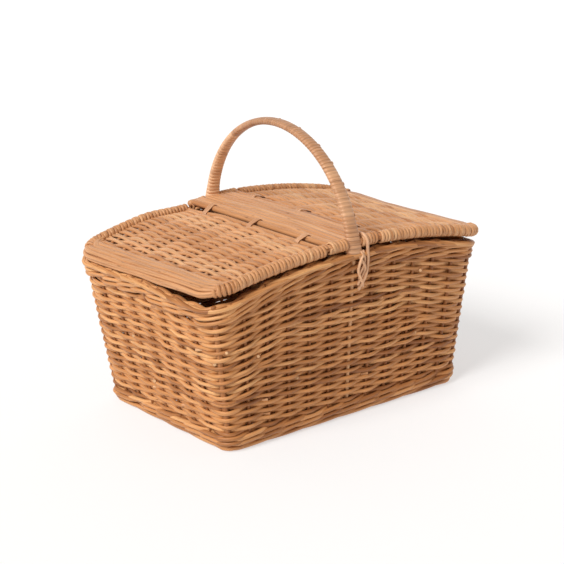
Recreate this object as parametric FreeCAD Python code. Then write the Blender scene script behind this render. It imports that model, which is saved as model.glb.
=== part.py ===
"""Willow picnic basket: a woven body, one bow handle, and two lids hinged on a fixed bridge.

Millimetres. The origin is on the floor under the middle of the basket, +Z is up,
+X runs along the basket's length and -Y is its front.
"""
import FreeCAD, Part

import math
import os

Vec = FreeCAD.Vector
X_AXIS = Vec(1, 0, 0)
Y_AXIS = Vec(0, 1, 0)
Z_AXIS = Vec(0, 0, 1)
ORIGIN = Vec(0, 0, 0)

# Body. The walls lean out from the base to the rim.
BASE_LENGTH = 409.0
BASE_WIDTH = 285.0
RIM_LENGTH = 472.0
RIM_WIDTH = 324.0
RIM_CORNER_HEIGHT = 207.0
RIM_MIDDLE_HEIGHT = 240.5
BASE_CORNER_RADIUS = 24.0
RIM_CORNER_RADIUS = 36.0
WALL_THICKNESS = 10.0
WALL_LOFT_TOP = 262.0

# Foot, floor and the thicker bands of the wall.
FOOT_HEIGHT = 8.0
FOOT_INSET = 5.0
FOOT_WIDTH = 10.0
FLOOR_THICKNESS = 10.0
FLOOR_CLEARANCE = 0.5
UPSET_HEIGHT = 16.0
BAND_OUTSET = 1.5
TOP_WALE_HEIGHT = 15.0
BORDER_HEIGHT = 9.0

# Upright stakes and the sticks of the floor.
STAKE_RADIUS = 3.0
STAKE_PITCH = 34.5
CORNER_POST_RADIUS = 4.0
FLOOR_STICK_RADIUS = 3.2
FLOOR_STICK_PITCH = 30.0

# Bow handle: a willow rod whose ends run down inside the long walls.
BOW_RADIUS = 4.0
BOW_SPRING_HEIGHT = 229.0
WRAP_WIDTH = 22.0
WRAP_DEPTH = 13.0
PEG_RADIUS = 1.5
PEG_DROP = 16.0
PEG_INSET = 0.5

# Lashing that ties each foot of the handle to the wall.
LASHING_REACH = 46.0
LASHING_WIDTH = 20.0
LASHING_STRAND = 5.0
LASHING_THICKNESS = 2.5
LASHING_OFFSET = 10.0

# Bridge between the two lids.
HINGE_X = 37.0
HINGE_Z = 253.0
HINGE_ROD_RADIUS = 4.5
BRIDGE_ROD_RADIUS = 4.0
BRIDGE_ROD_PITCH = 8.4
BRIDGE_ROD_COUNT = 7
CROSS_ROD_RADIUS = 2.5
CROSS_ROD_PLACES = (-140.0, -52.5, 52.5, 140.0)
BRIDGE_END_REACH = 41.0

# Lids. Each is a wrapped hoop that follows the bowed rim, filled with ribs and weave.
LID_GAP = 1.5
LID_HOOP_RADIUS = 5.5
LID_BORDER_RADIUS = 8.5
LID_HALF_WIDTH = 156.5
LID_START = 48.0
LID_SIDE_END = 200.5
LID_CORNER_RADIUS = 30.0
LID_ROD_RADIUS = 4.0
LID_WEAVE_THICKNESS = 9.0
RIB_RADIUS = 3.0
RIB_PITCH = 37.0
RIB_COUNT = 8
LOOP_PLACES = (-105.0, 0.0, 105.0)
LOOP_WIDTH = 8.0
LOOP_THICKNESS = 2.5
HINGE_CLEARANCE = 0.4

# Worked out from the dimensions above.
WALL_LEAN = (RIM_WIDTH - BASE_WIDTH) / 2 / RIM_CORNER_HEIGHT
RIM_BOW = RIM_MIDDLE_HEIGHT - RIM_CORNER_HEIGHT
RIM_BOW_RADIUS = ((RIM_LENGTH / 2) ** 2 + RIM_BOW ** 2) / (2 * RIM_BOW)
WALL_MID = WALL_THICKNESS / 2
BOW_ARCH_RADIUS = BASE_WIDTH / 2 + WALL_LEAN * BOW_SPRING_HEIGHT - WALL_MID
LID_LIFT = LID_GAP + LID_BORDER_RADIUS
BRIDGE_ROD_END = LID_HALF_WIDTH - LID_BORDER_RADIUS + BAND_OUTSET
FLOOR_TOP = FOOT_HEIGHT + FLOOR_THICKNESS
UPSET_TOP = FOOT_HEIGHT + UPSET_HEIGHT
TOP_WALE_LIFT = -BORDER_HEIGHT - TOP_WALE_HEIGHT
FAR = 300.0


def rim_height(x, lift=0.0):
    """Height of the bowed rim line at x."""
    return RIM_MIDDLE_HEIGHT + lift - RIM_BOW_RADIUS + math.sqrt(RIM_BOW_RADIUS ** 2 - x * x)


def wall_half_size(z, inset=0.0):
    """Half length, half width and corner radius of the body's outside at height z."""
    share = z / RIM_CORNER_HEIGHT
    half_length = (BASE_LENGTH + (RIM_LENGTH - BASE_LENGTH) * share) / 2 - inset
    half_width = (BASE_WIDTH + (RIM_WIDTH - BASE_WIDTH) * share) / 2 - inset
    radius = BASE_CORNER_RADIUS + (RIM_CORNER_RADIUS - BASE_CORNER_RADIUS) * share - inset
    return half_length, half_width, radius


def rounded_rectangle(half_length, half_width, radius, z):
    """Closed wire of a rectangle with round corners, lying flat at height z."""
    straight_x = half_length - radius
    straight_y = half_width - radius
    diagonal = radius * math.sqrt(0.5)
    arcs = []
    for sign_x, sign_y in ((1, 1), (-1, 1), (-1, -1), (1, -1)):
        centre = Vec(sign_x * straight_x, sign_y * straight_y, z)
        on_side = centre + Vec(sign_x * radius, 0, 0)
        on_corner = centre + Vec(sign_x * diagonal, sign_y * diagonal, 0)
        on_front = centre + Vec(0, sign_y * radius, 0)
        ends = (on_side, on_corner, on_front)
        if sign_x * sign_y < 0:
            ends = (on_front, on_corner, on_side)
        arcs.append(Part.Arc(*ends).toShape())
    edges = []
    for number, arc in enumerate(arcs):
        following = arcs[(number + 1) % 4]
        edges.append(arc)
        edges.append(Part.makeLine(arc.Vertexes[-1].Point, following.Vertexes[0].Point))
    return Part.Wire(edges)


def body_prism(low, high, inset):
    """Solid that fills the leaning body from low to high, inset from its outside."""
    bottom = rounded_rectangle(*wall_half_size(low, inset), low)
    top = rounded_rectangle(*wall_half_size(high, inset), high)
    return Part.makeLoft([bottom, top], True, True)


def wall_ring(low, high, outset=0.0):
    """Wall of the body from low to high."""
    return body_prism(low, high, -outset).cut(body_prism(low, high, WALL_THICKNESS))


def flat_plate(half_length, half_width, radius, low, high):
    """Upright prism with rounded corners."""
    face = Part.Face(rounded_rectangle(half_length, half_width, radius, low))
    return face.extrude(Vec(0, 0, high - low))


def rim_arc(start_x, end_x, lift, y=0.0):
    """Arc parallel to the bowed rim in the plane at y."""
    middle_x = (start_x + end_x) / 2
    points = [Vec(x, y, rim_height(x, lift)) for x in (start_x, middle_x, end_x)]
    return Part.Arc(*points).toShape()


def slab_under_bow(low_z, high_lift):
    """Block with a flat underside at low_z and a top that follows the rim."""
    top = rim_arc(-FAR, FAR, high_lift, -FAR)
    left_top = top.Vertexes[0].Point
    right_top = top.Vertexes[-1].Point
    left_low = Vec(-FAR, -FAR, low_z)
    right_low = Vec(FAR, -FAR, low_z)
    outline = [
        top,
        Part.makeLine(right_top, right_low),
        Part.makeLine(right_low, left_low),
        Part.makeLine(left_low, left_top),
    ]
    return Part.Face(Part.Wire(outline)).extrude(Vec(0, 2 * FAR, 0))


def bowed_slab(low_lift, high_lift, start_x=-FAR, end_x=FAR, half_width=FAR):
    """Curved board between two lifts of the rim line."""
    low = rim_arc(start_x, end_x, low_lift, -half_width)
    high = rim_arc(start_x, end_x, high_lift, -half_width)
    outline = [
        low,
        Part.makeLine(low.Vertexes[-1].Point, high.Vertexes[-1].Point),
        high,
        Part.makeLine(high.Vertexes[0].Point, low.Vertexes[0].Point),
    ]
    wire = Part.Wire(Part.__sortEdges__(outline))
    return Part.Face(wire).extrude(Vec(0, 2 * half_width, 0))


def rod(start, end, radius):
    """Straight round rod between two points."""
    along = end - start
    return Part.makeCylinder(radius, along.Length, start, along)


def swept_rod(edges, radius):
    """Round rod along a smooth path of edges."""
    path = Part.Wire(edges)
    first = path.Edges[0]
    start = first.valueAt(first.FirstParameter)
    direction = first.tangentAt(first.FirstParameter)
    profile = Part.Wire(Part.makeCircle(radius, start, direction))
    return path.makePipeShell([profile], True, False)


def wall_line(x_base, x_rim, side):
    """Two ends of a stake in the middle of a long wall; side is -1 at the front, 1 at the back."""
    low_y = side * (wall_half_size(0)[1] - WALL_MID)
    high_y = side * (wall_half_size(WALL_LOFT_TOP)[1] - WALL_MID)
    return Vec(x_base, low_y, 0), Vec(x_rim, high_y, WALL_LOFT_TOP)


def long_wall_stakes(side):
    """Stakes of the front or back wall. The bow handle's end stands in for the middle one."""
    stakes = []
    for number in (-5, -4, -3, -2, -1, 1, 2, 3, 4, 5):
        x = number * STAKE_PITCH
        stakes.append(rod(*wall_line(x, x, side), STAKE_RADIUS))
    return stakes


def end_wall_stakes(side):
    """Stakes of the left or right wall; side is -1 on the left, 1 on the right."""
    low_x = side * (wall_half_size(0)[0] - WALL_MID)
    high_x = side * (wall_half_size(WALL_LOFT_TOP)[0] - WALL_MID)
    stakes = []
    for number in range(-3, 4):
        y = number * STAKE_PITCH
        stakes.append(rod(Vec(low_x, y, 0), Vec(high_x, y, WALL_LOFT_TOP), STAKE_RADIUS))
    return stakes


def corner_posts():
    """A thicker post in the middle of the wall at each rounded corner."""
    posts = []
    for sign_x, sign_y in ((1, 1), (-1, 1), (-1, -1), (1, -1)):
        ends = []
        for z in (0, WALL_LOFT_TOP):
            half_length, half_width, radius = wall_half_size(z)
            reach = radius - (radius - WALL_MID) * math.sqrt(0.5)
            ends.append(Vec(sign_x * (half_length - reach), sign_y * (half_width - reach), z))
        posts.append(rod(*ends, CORNER_POST_RADIUS))
    return posts


def trim(shapes, envelope):
    """Keep the part of each shape that lies inside the envelope."""
    return [shape.common(envelope) for shape in shapes]


def side_wedge(towards_end, sign):
    """Region of the plan that one wall takes, divided from its neighbours at the corner posts."""
    half_length, half_width, radius = wall_half_size(RIM_CORNER_HEIGHT / 2)
    corner_x = half_length - radius
    corner_y = half_width - radius
    if towards_end:
        plan = [
            Vec(corner_x - corner_y, 0, 0),
            Vec(corner_x + FAR - corner_y, FAR, 0),
            Vec(corner_x + FAR - corner_y, -FAR, 0),
        ]
        plan = [Vec(sign * point.x, point.y, 0) for point in plan]
    else:
        inner = corner_x - corner_y
        plan = [
            Vec(-inner, 0, 0),
            Vec(inner, 0, 0),
            Vec(inner + FAR, sign * FAR, 0),
            Vec(-inner - FAR, sign * FAR, 0),
        ]
    plan.append(plan[0])
    return Part.Face(Part.makePolygon(plan)).extrude(Vec(0, 0, FAR))


def bow_arch(start_angle):
    """Round arch of the handle in the YZ plane, from the front over the crest to the back."""
    y = BOW_ARCH_RADIUS * math.cos(start_angle)
    z = BOW_SPRING_HEIGHT + BOW_ARCH_RADIUS * math.sin(start_angle)
    crest = Vec(0, 0, BOW_SPRING_HEIGHT + BOW_ARCH_RADIUS)
    return Part.Arc(Vec(0, -y, z), crest, Vec(0, y, z)).toShape()


def bow_rod():
    """Handle rod: the arch and its two legs, which follow the lean of the long walls."""
    arch = bow_arch(-math.atan(WALL_LEAN))
    front_top = arch.Vertexes[0].Point
    back_top = arch.Vertexes[-1].Point
    drop = front_top.z - FOOT_HEIGHT
    front_low = front_top + Vec(0, drop * WALL_LEAN, -drop)
    back_low = back_top + Vec(0, -drop * WALL_LEAN, -drop)
    front_leg = Part.makeLine(front_low, front_top)
    back_leg = Part.makeLine(back_top, back_low)
    return swept_rod([front_leg, arch, back_leg], BOW_RADIUS)


def handle_sleeve():
    """Outer shape of the handle's wrapping, from rim to rim over the arch."""
    arch = bow_arch(math.asin((RIM_MIDDLE_HEIGHT - BOW_SPRING_HEIGHT) / BOW_ARCH_RADIUS))
    start = arch.valueAt(arch.FirstParameter)
    along = arch.tangentAt(arch.FirstParameter)
    across = along.cross(X_AXIS)
    flat = WRAP_WIDTH / 2 - WRAP_DEPTH / 2
    half_depth = WRAP_DEPTH / 2

    def corner(x, depth):
        return start + X_AXIS * x + across * depth

    def round_side(sign):
        points = [corner(sign * flat, -sign * half_depth),
                  corner(sign * (flat + half_depth), 0),
                  corner(sign * flat, sign * half_depth)]
        return Part.Arc(*points).toShape()

    outline = [
        Part.makeLine(corner(-flat, -half_depth), corner(flat, -half_depth)),
        round_side(1),
        Part.makeLine(corner(flat, half_depth), corner(-flat, half_depth)),
        round_side(-1),
    ]
    return Part.Wire([arch]).makePipeShell([Part.Wire(outline)], True, False)


def handle_pegs():
    """Two pegs through the wall and the handle's legs, just under the border."""
    pegs = []
    z = RIM_MIDDLE_HEIGHT - PEG_DROP
    outside = wall_half_size(z)[1]
    for side in (-1, 1):
        start = Vec(0, side * (outside - PEG_INSET), z)
        end = Vec(0, side * (outside - WALL_THICKNESS + PEG_INSET), z)
        pegs.append(rod(start, end, PEG_RADIUS))
    return pegs


def handle_lashing(side):
    """Teardrop loop of willow strands from the border down the outside of the wall."""
    half_width = LASHING_WIDTH / 2
    top = rim_height(LASHING_OFFSET, -BORDER_HEIGHT)

    def teardrop(shrink):
        radius = half_width - shrink
        tip = Vec(0, -LASHING_REACH + 2 * shrink, 0)
        left = Vec(-radius, -half_width, 0)
        right = Vec(radius, -half_width, 0)
        crest = Vec(0, -half_width + radius, 0)
        edges = [
            Part.makeLine(tip, right),
            Part.Arc(right, crest, left).toShape(),
            Part.makeLine(left, tip),
        ]
        return Part.Face(Part.Wire(edges)).extrude(Vec(0, 0, LASHING_THICKNESS))

    loop = teardrop(0).cut(teardrop(LASHING_STRAND))
    loop.rotate(ORIGIN, X_AXIS, 90)
    loop.rotate(ORIGIN, X_AXIS, math.degrees(math.atan(WALL_LEAN)))
    loop.translate(Vec(LASHING_OFFSET, -wall_half_size(top)[1], top))
    if side > 0:
        loop.rotate(ORIGIN, Z_AXIS, 180)
    return loop


def bridge_edge_rod(side):
    """Rod along one edge of the bridge; the lid's loops turn on it."""
    x = side * HINGE_X
    return rod(Vec(x, -BRIDGE_ROD_END, HINGE_Z), Vec(x, BRIDGE_ROD_END, HINGE_Z), HINGE_ROD_RADIUS)


def bridge_end_cylinder(side, radius):
    """Round bar across one end of the bridge, in line with the lids' borders."""
    y = side * LID_HALF_WIDTH
    z = RIM_MIDDLE_HEIGHT + LID_LIFT
    return rod(Vec(-BRIDGE_END_REACH, y, z), Vec(BRIDGE_END_REACH, y, z), radius)


def bridge_long_rods():
    """Smooth rods laid side by side from the front to the back of the bridge."""
    z = HINGE_Z - HINGE_ROD_RADIUS + BRIDGE_ROD_RADIUS
    rods = []
    for number in range(BRIDGE_ROD_COUNT):
        x = (number - (BRIDGE_ROD_COUNT - 1) / 2) * BRIDGE_ROD_PITCH
        rods.append(rod(Vec(x, -BRIDGE_ROD_END, z), Vec(x, BRIDGE_ROD_END, z), BRIDGE_ROD_RADIUS))
    return rods


def bridge_cross_rods():
    """Short rods under the bridge that carry its edge rods."""
    z = HINGE_Z - HINGE_ROD_RADIUS - CROSS_ROD_RADIUS
    reach = HINGE_X + HINGE_ROD_RADIUS
    return [rod(Vec(-reach, y, z), Vec(reach, y, z), CROSS_ROD_RADIUS) for y in CROSS_ROD_PLACES]


def lid_path():
    """Edges of the left lid's hoop: front side, corner, end, corner, back side."""
    side_arc = rim_arc(-LID_START, -LID_SIDE_END, LID_LIFT, -LID_HALF_WIDTH)
    slope = math.asin(LID_SIDE_END / RIM_BOW_RADIUS)
    outward = Vec(-math.cos(slope), 0, -math.sin(slope))
    side_end = Vec(-LID_SIDE_END, -LID_HALF_WIDTH, rim_height(LID_SIDE_END, LID_LIFT))
    centre = side_end + Y_AXIS * LID_CORNER_RADIUS
    diagonal = LID_CORNER_RADIUS * math.sqrt(0.5)
    corner_middle = centre + outward * diagonal - Y_AXIS * diagonal
    corner_end = centre + outward * LID_CORNER_RADIUS

    def mirrored(point):
        return Vec(point.x, -point.y, point.z)

    front_corner = Part.Arc(side_end, corner_middle, corner_end).toShape()
    end_line = Part.makeLine(corner_end, mirrored(corner_end))
    back_points = [mirrored(point) for point in (corner_end, corner_middle, side_end)]
    back_corner = Part.Arc(*back_points).toShape()
    back_arc = rim_arc(-LID_SIDE_END, -LID_START, LID_LIFT, LID_HALF_WIDTH)
    return [side_arc, front_corner, end_line, back_corner, back_arc]


def lid_hinge_rod():
    """Rod along the lid's inner edge."""
    z = rim_height(LID_START, LID_LIFT)
    end_y = LID_HALF_WIDTH - LID_BORDER_RADIUS - HINGE_CLEARANCE
    return rod(Vec(-LID_START, -end_y, z), Vec(-LID_START, end_y, z), LID_ROD_RADIUS)


def lid_ribs():
    """Ribs that run from the hinge rod to the lid's end."""
    end_x = LID_SIDE_END + LID_CORNER_RADIUS
    ribs = []
    for number in range(RIB_COUNT):
        y = (number - (RIB_COUNT - 1) / 2) * RIB_PITCH
        ribs.append(swept_rod([rim_arc(-LID_START, -end_x, LID_LIFT, y)], RIB_RADIUS))
    return ribs


def lid_loop_blanks():
    """Outer shapes of the bindings that join the lid's rod to the bridge's edge rod."""
    radius = HINGE_ROD_RADIUS + HINGE_CLEARANCE + LOOP_THICKNESS
    blanks = []
    for y in LOOP_PLACES:
        pin = Vec(-HINGE_X, y - LOOP_WIDTH / 2, HINGE_Z)
        lid_rod = Vec(-LID_START, y - LOOP_WIDTH / 2, rim_height(LID_START, LID_LIFT))
        along = Vec(lid_rod - pin).normalize()
        across = Vec(-along.z, 0, along.x) * radius
        outline = [
            Part.makeLine(pin + across, lid_rod + across),
            Part.Arc(lid_rod + across, lid_rod + along * radius, lid_rod - across).toShape(),
            Part.makeLine(lid_rod - across, pin - across),
            Part.Arc(pin - across, pin - along * radius, pin + across).toShape(),
        ]
        blanks.append(Part.Face(Part.Wire(outline)).extrude(Vec(0, LOOP_WIDTH, 0)))
    return blanks


def one_shape(shapes):
    """Put separate solids of one kind in one compound."""
    solids = []
    for shape in shapes:
        solids.extend(shape.Solids)
    return Part.makeCompound(solids)


def build_body():
    """Nodes of the woven body."""
    posts = corner_posts()
    stakes = {
        "front_stakes": long_wall_stakes(-1),
        "back_stakes": long_wall_stakes(1),
        "left_stakes": end_wall_stakes(-1),
        "right_stakes": end_wall_stakes(1),
    }
    under_border = slab_under_bow(FOOT_HEIGHT, -BORDER_HEIGHT)
    bow = bow_rod()
    pegs = handle_pegs()
    inside_walls = posts + sum(stakes.values(), []) + [bow] + pegs

    nodes = {}
    foot_size = wall_half_size(FOOT_HEIGHT, FOOT_INSET)
    foot_hole = wall_half_size(FOOT_HEIGHT, FOOT_INSET + FOOT_WIDTH)
    foot = flat_plate(*foot_size, 0, FOOT_HEIGHT)
    nodes["foot_border"] = foot.cut(flat_plate(*foot_hole, 0, FOOT_HEIGHT))

    floor_size = wall_half_size(FOOT_HEIGHT, WALL_THICKNESS + FLOOR_CLEARANCE)
    floor = flat_plate(*floor_size, FOOT_HEIGHT, FLOOR_TOP)
    sticks = []
    for number in range(-3, 4):
        y = number * FLOOR_STICK_PITCH
        z = FOOT_HEIGHT + FLOOR_THICKNESS / 2
        sticks.append(rod(Vec(-floor_size[0], y, z), Vec(floor_size[0], y, z), FLOOR_STICK_RADIUS))
    nodes["floor_sticks"] = one_shape(sticks)
    nodes["floor_weave"] = floor.cut(sticks)

    upset = wall_ring(FOOT_HEIGHT, UPSET_TOP, BAND_OUTSET)
    nodes["bottom_wale"] = upset.cut(inside_walls)
    wall = wall_ring(UPSET_TOP, WALL_LOFT_TOP)
    weave = wall.common(slab_under_bow(0, TOP_WALE_LIFT)).cut(inside_walls)
    for name, towards_end, sign in (
        ("front_wall_weave", False, -1),
        ("back_wall_weave", False, 1),
        ("left_wall_weave", True, -1),
        ("right_wall_weave", True, 1),
    ):
        nodes[name] = weave.common(side_wedge(towards_end, sign))
    top_wale = wall.common(bowed_slab(TOP_WALE_LIFT, -BORDER_HEIGHT))
    nodes["top_wale"] = top_wale.cut(inside_walls)
    border = wall_ring(UPSET_TOP, WALL_LOFT_TOP, BAND_OUTSET)
    border = border.common(bowed_slab(-BORDER_HEIGHT, 0))
    nodes["rim_border"] = border.cut(bow)

    for name, rods in stakes.items():
        nodes[name] = one_shape(trim(rods, under_border))
    nodes["corner_posts"] = one_shape(trim(posts, under_border))

    sleeve = handle_sleeve()
    nodes["handle_bow"] = bow.cut(pegs)
    nodes["handle_wrap"] = sleeve.cut([bow, border])
    nodes["handle_pegs"] = one_shape(pegs)
    nodes["front_handle_lashing"] = handle_lashing(-1)
    nodes["back_handle_lashing"] = handle_lashing(1)
    nodes.update(build_bridge(sleeve))
    return nodes


def build_bridge(sleeve):
    """Nodes of the fixed bridge; the handle's wrapping passes through its ends."""
    ends = {}
    for name, side in (("front", -1), ("back", 1)):
        wrap = bridge_end_cylinder(side, LID_BORDER_RADIUS)
        core = bridge_end_cylinder(side, LID_HOOP_RADIUS)
        ends["bridge_%s_rod" % name] = core.cut(sleeve)
        ends["bridge_%s_wrap" % name] = wrap.cut([core, sleeve])
    end_shapes = list(ends.values())
    nodes = dict(ends)
    nodes["left_hinge_rod"] = bridge_edge_rod(-1).cut(end_shapes)
    nodes["right_hinge_rod"] = bridge_edge_rod(1).cut(end_shapes)
    nodes["bridge_long_rods"] = one_shape([item.cut(end_shapes) for item in bridge_long_rods()])
    nodes["bridge_cross_rods"] = one_shape([item.cut(end_shapes) for item in bridge_cross_rods()])
    return nodes


def build_left_lid():
    """Nodes of the left lid, without the side in their names."""
    path = lid_path()
    hoop = swept_rod(path, LID_HOOP_RADIUS)
    front = swept_rod(path[:1], LID_BORDER_RADIUS)
    back = swept_rod(path[-1:], LID_BORDER_RADIUS)
    end = swept_rod(path[1:4], LID_BORDER_RADIUS)
    borders = [front, back, end, hoop]
    hinge_rod = lid_hinge_rod()
    ribs = [rib.cut(borders + [hinge_rod]) for rib in lid_ribs()]
    blanks = lid_loop_blanks()

    half = LID_WEAVE_THICKNESS / 2
    end_x = LID_SIDE_END + LID_CORNER_RADIUS * math.sqrt(0.5)
    board_half_width = LID_HALF_WIDTH - LID_HOOP_RADIUS
    board = bowed_slab(LID_LIFT - half, LID_LIFT + half, -end_x, -LID_START, board_half_width)
    pin_hole_radius = HINGE_ROD_RADIUS + HINGE_CLEARANCE
    pin_hole = rod(Vec(-HINGE_X, -FAR, HINGE_Z), Vec(-HINGE_X, FAR, HINGE_Z), pin_hole_radius)
    return {
        "hoop": hoop,
        "front_border": front.cut(hoop),
        "back_border": back.cut(hoop),
        "end_border": end.cut(hoop),
        "inner_rod": hinge_rod,
        "ribs": one_shape(ribs),
        "weave": board.cut(borders + [hinge_rod] + ribs + blanks),
        "hinge_loops": one_shape([blank.cut([pin_hole, hinge_rod]) for blank in blanks]),
    }


def main():
    nodes = build_body()
    for name, shape in build_left_lid().items():
        nodes["left_lid_" + name] = shape
        nodes["right_lid_" + name] = shape.mirror(ORIGIN, X_AXIS)
    os.makedirs("parts", exist_ok=True)
    for name, shape in nodes.items():
        shape.exportStep("parts/%s.step" % name)
        print("%-24s solids %2d  valid %s  volume %9.0f" % (
            name, len(shape.Solids), shape.isValid(), shape.Volume))


main()
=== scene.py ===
"""Looks of the willow picnic basket: every rod, wrap and tie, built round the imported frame. Metres."""
import math

import bpy
import numpy as np
from mathutils import Matrix, Vector


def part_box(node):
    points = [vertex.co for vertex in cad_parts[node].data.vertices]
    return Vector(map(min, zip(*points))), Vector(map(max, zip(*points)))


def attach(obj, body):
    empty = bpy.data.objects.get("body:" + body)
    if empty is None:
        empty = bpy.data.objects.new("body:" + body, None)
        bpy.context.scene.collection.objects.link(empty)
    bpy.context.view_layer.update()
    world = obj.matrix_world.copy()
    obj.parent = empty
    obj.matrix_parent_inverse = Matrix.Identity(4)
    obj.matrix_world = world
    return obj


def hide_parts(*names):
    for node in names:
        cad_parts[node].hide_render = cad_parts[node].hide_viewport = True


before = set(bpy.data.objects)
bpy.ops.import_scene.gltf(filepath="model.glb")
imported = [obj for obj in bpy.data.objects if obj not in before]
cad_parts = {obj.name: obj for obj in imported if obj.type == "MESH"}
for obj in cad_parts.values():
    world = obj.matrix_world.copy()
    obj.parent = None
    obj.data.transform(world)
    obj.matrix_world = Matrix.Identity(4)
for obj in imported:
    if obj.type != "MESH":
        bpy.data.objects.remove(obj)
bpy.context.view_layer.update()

MM = 0.001
TURN = 2 * math.pi
UP = np.array([0.0, 0.0, 1.0])
rng = np.random.default_rng(20)

# -------- sizes read from the frame

BAND_OUTSET = 1.5 * MM
BORDER_HEIGHT = 9.0 * MM
BASE_CORNER_RADIUS = 24.0 * MM
RIM_CORNER_RADIUS = 36.0 * MM

FOOT_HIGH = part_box("foot_border")[1]
WALE_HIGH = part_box("bottom_wale")[1]
LID_END_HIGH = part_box("right_lid_end_border")[1]
RIM_LOW, RIM_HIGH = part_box("rim_border")
FLOOR_LOW, FLOOR_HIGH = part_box("floor_weave")
HANDLE_LOW, HANDLE_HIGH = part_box("handle_wrap")
WRAP_LOW, WRAP_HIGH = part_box("bridge_front_wrap")
EDGE_LOW, EDGE_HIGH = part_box("right_hinge_rod")
LID_ROD_LOW, LID_ROD_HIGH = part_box("right_lid_inner_rod")

WALE_TOP = WALE_HIGH[2]
RIM_TOP = RIM_HIGH[2]
RIM_CORNER = RIM_LOW[2] + BORDER_HEIGHT
RIM_HALF_LENGTH = RIM_HIGH[0] - BAND_OUTSET
RIM_HALF_WIDTH = RIM_HIGH[1] - BAND_OUTSET
RIM_BOW = RIM_TOP - RIM_CORNER
BOW_RADIUS = (RIM_HALF_LENGTH ** 2 + RIM_BOW ** 2) / (2 * RIM_BOW)
HINGE_X = (EDGE_LOW[0] + EDGE_HIGH[0]) / 2
HINGE_Z = (EDGE_LOW[2] + EDGE_HIGH[2]) / 2
EDGE_RADIUS = (EDGE_HIGH[2] - EDGE_LOW[2]) / 2
BORDER_RADIUS = (WRAP_HIGH[2] - WRAP_LOW[2]) / 2
BORDER_Z = (WRAP_LOW[2] + WRAP_HIGH[2]) / 2
BORDER_Y = -(WRAP_LOW[1] + WRAP_HIGH[1]) / 2
LID_START = (LID_ROD_LOW[0] + LID_ROD_HIGH[0]) / 2
LID_ROD_RADIUS = (LID_ROD_HIGH[2] - LID_ROD_LOW[2]) / 2
LID_END = LID_END_HIGH[0] - BORDER_RADIUS


def crown(x):
    """Height of the bowed rim line at x."""
    return RIM_TOP - BOW_RADIUS + np.sqrt(BOW_RADIUS ** 2 - x * x)


def smooth(value):
    """Smooth step from 0 to 1."""
    value = np.clip(value, 0.0, 1.0)
    return value * value * (3.0 - 2.0 * value)


def hump(value, middle, reach):
    """1 at the middle, falling smoothly to 0 at the distance reach from it."""
    return smooth(1.0 - np.abs(value - middle) / reach)


# Where a long wall's rim has sunk: the side, how far, and the middle and reach along x.
RIM_SAGS = (
    (-1, 3.5 * MM, -190 * MM, 110 * MM),
    (1, 6.5 * MM, -70 * MM, 110 * MM),
    (-1, 4.6 * MM, 205 * MM, 130 * MM),
    (1, 2.0 * MM, 190 * MM, 170 * MM),
)
RIM_DROP = 1.2 * MM
LEFT_END_RISE = 3.5 * MM


def rim(x, y):
    """Height of the rim at a point of its outline, which the weave has left a little out of true."""
    on_left_end = smooth((-x - 190 * MM) / (40 * MM))
    height = crown(x) - RIM_DROP + LEFT_END_RISE * hump(y, 10 * MM, 130 * MM) * on_left_end
    for side, sunk, middle, reach in RIM_SAGS:
        height = height - sunk * hump(x, middle, reach) * smooth(side * y / (90 * MM))
    return height


# How far a lid's rods lie above the bowed line.
LID_LIFT = (LID_ROD_LOW[2] + LID_ROD_HIGH[2]) / 2 - float(crown(LID_START))

# -------- paths


def unit(vectors):
    return vectors / np.maximum(np.linalg.norm(vectors, axis=-1, keepdims=True), 1e-12)


def tangents(path):
    return unit(np.gradient(path, axis=0))


def travelled(path):
    """Distance along a path to each of its points."""
    return np.concatenate([[0.0], np.cumsum(np.linalg.norm(np.diff(path, axis=0), axis=1))])


def read_off(travel, length, values):
    """Rows of values, given at the distances length along a path, read off at the distances travel."""
    return np.stack([np.interp(travel, length, values[:, i]) for i in range(3)], axis=1)


def waver(values, wavelength, seed):
    """Smooth wandering between about -1 and 1 along a line of values."""
    local = np.random.default_rng(seed)
    waves = 4
    total = 0.0
    for _ in range(waves):
        stretch = wavelength * local.uniform(0.6, 1.8)
        total = total + np.sin(values / stretch * TURN + local.uniform(0, TURN))
    return total / waves * 1.4


# -------- willow rods as meshes


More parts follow.
